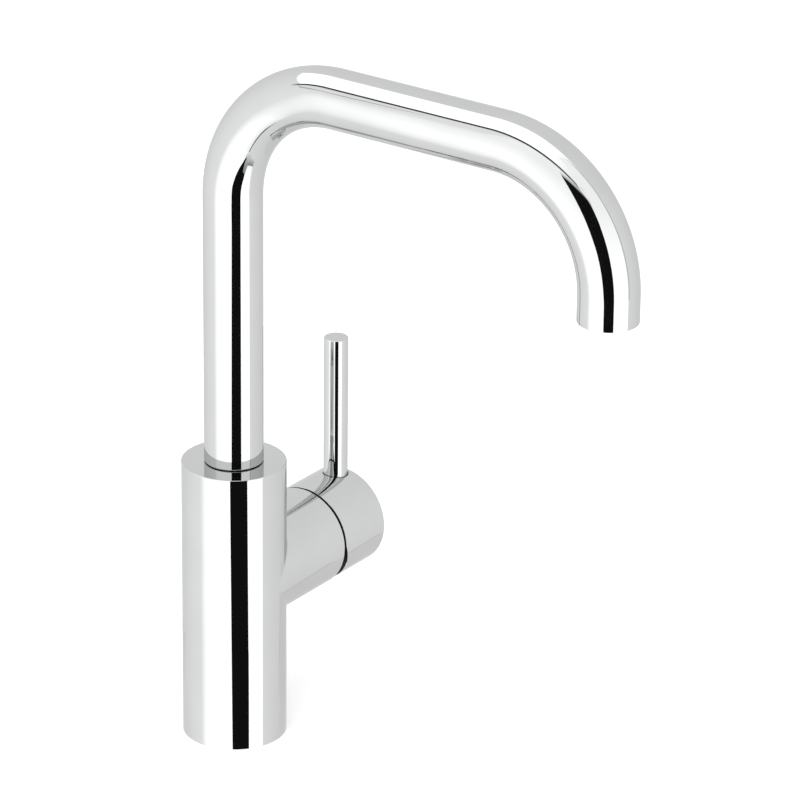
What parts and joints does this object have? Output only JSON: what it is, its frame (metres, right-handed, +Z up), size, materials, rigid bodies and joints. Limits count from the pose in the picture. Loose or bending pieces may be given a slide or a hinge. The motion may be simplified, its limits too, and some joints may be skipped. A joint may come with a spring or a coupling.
{
  "type": "tall single-lever mixer tap",
  "caption": "Tall deck-mounted mixer tap: round column, square-arched swivel spout tube, and a side housing with a tilting, turning hub and an upright pin lever; chromed.",
  "frame": {"origin": "centre of the column's foot, on the face that stands on the deck", "axes": "+Z up along the column, the side housing, hub and lever towards +X, the spout's outlet towards -Y"},
  "size_m": [0.1127, 0.2437, 0.345],
  "materials": {
    "column_chrome": "polished chrome plate on cast brass",
    "spout_chrome": "polished chrome plate on drawn brass tube",
    "hub_chrome": "polished chrome plate on turned brass",
    "lever_chrome": "polished chrome plate on a turned brass pin",
    "seal_rubber": "matte moulded rubber",
    "glide_ring_plastic": "matte moulded acetal, dark grey",
    "turned_brass": "turned, bare",
    "stem_brass": "milled and bright",
    "aerator_plastic": "moulded, pale grey",
    "regulator_plastic": "moulded, off-white",
    "screen_steel": "perforated stainless sheet",
    "screw_steel": "turned stainless",
    "cartridge_plastic": "glass-filled, moulded, light grey",
    "guide_plastic": "moulded, dark grey",
    "disc_ceramic": "lapped alumina",
    "plug_plastic": "moulded, mid grey"
  },
  "bodies": {
    "tap_body": {"body_casting": "column_chrome", "base_seal": "seal_rubber", "stop_screw": "screw_steel", "glide_ring_upper": "glide_ring_plastic", "cartridge_base": "cartridge_plastic", "port_seals": "seal_rubber", "disc_seals": "seal_rubber", "fixed_disc": "disc_ceramic", "cartridge_shell": "cartridge_plastic", "retaining_nut": "turned_brass"},
    "spout": {"spout_tube": "spout_chrome", "spout_tail": "turned_brass", "o_ring_lower": "seal_rubber", "o_ring_upper": "seal_rubber", "glide_ring_lower": "glide_ring_plastic", "outlet_insert": "turned_brass", "aerator_housing": "aerator_plastic", "jet_regulator": "regulator_plastic", "aerator_screen": "screen_steel", "aerator_seal": "seal_rubber"},
    "mixer_turn": {"rotating_guide": "guide_plastic", "pivot_pin": "screw_steel"},
    "lever": {"stem": "stem_brass", "hub": "hub_chrome", "pin_lever": "lever_chrome", "hub_grub_screw": "screw_steel", "screw_plug": "plug_plastic"},
    "sliding_disc": {"disc_carrier": "guide_plastic", "moving_disc": "disc_ceramic"}
  },
  "joints": [
    {"name": "spout_swivel", "type": "hinge", "parent": "tap_body", "child": "spout", "pos_m": [0, 0, 0.1395], "axis": [0, 0, 1], "range_deg": [-60, 60]},
    {"name": "temperature_turn", "type": "hinge", "parent": "tap_body", "child": "mixer_turn", "pos_m": [0, 0, 0.0795], "axis": [1, 0, 0], "range_deg": [-45, 45]},
    {"name": "flow_tilt", "type": "hinge", "parent": "mixer_turn", "child": "lever", "pos_m": [0.0355, 0, 0.0795], "axis": [0, 1, 0], "range_deg": [0, 18]},
    {"name": "disc_slide", "type": "slide", "parent": "mixer_turn", "child": "sliding_disc", "axis": [0, 0, 1], "range_m": [0, 0.0028]}
  ],
  "couplings": [
    {"joint": "disc_slide", "follows": "flow_tilt", "m_per_rad": 0.0085}
  ]
}
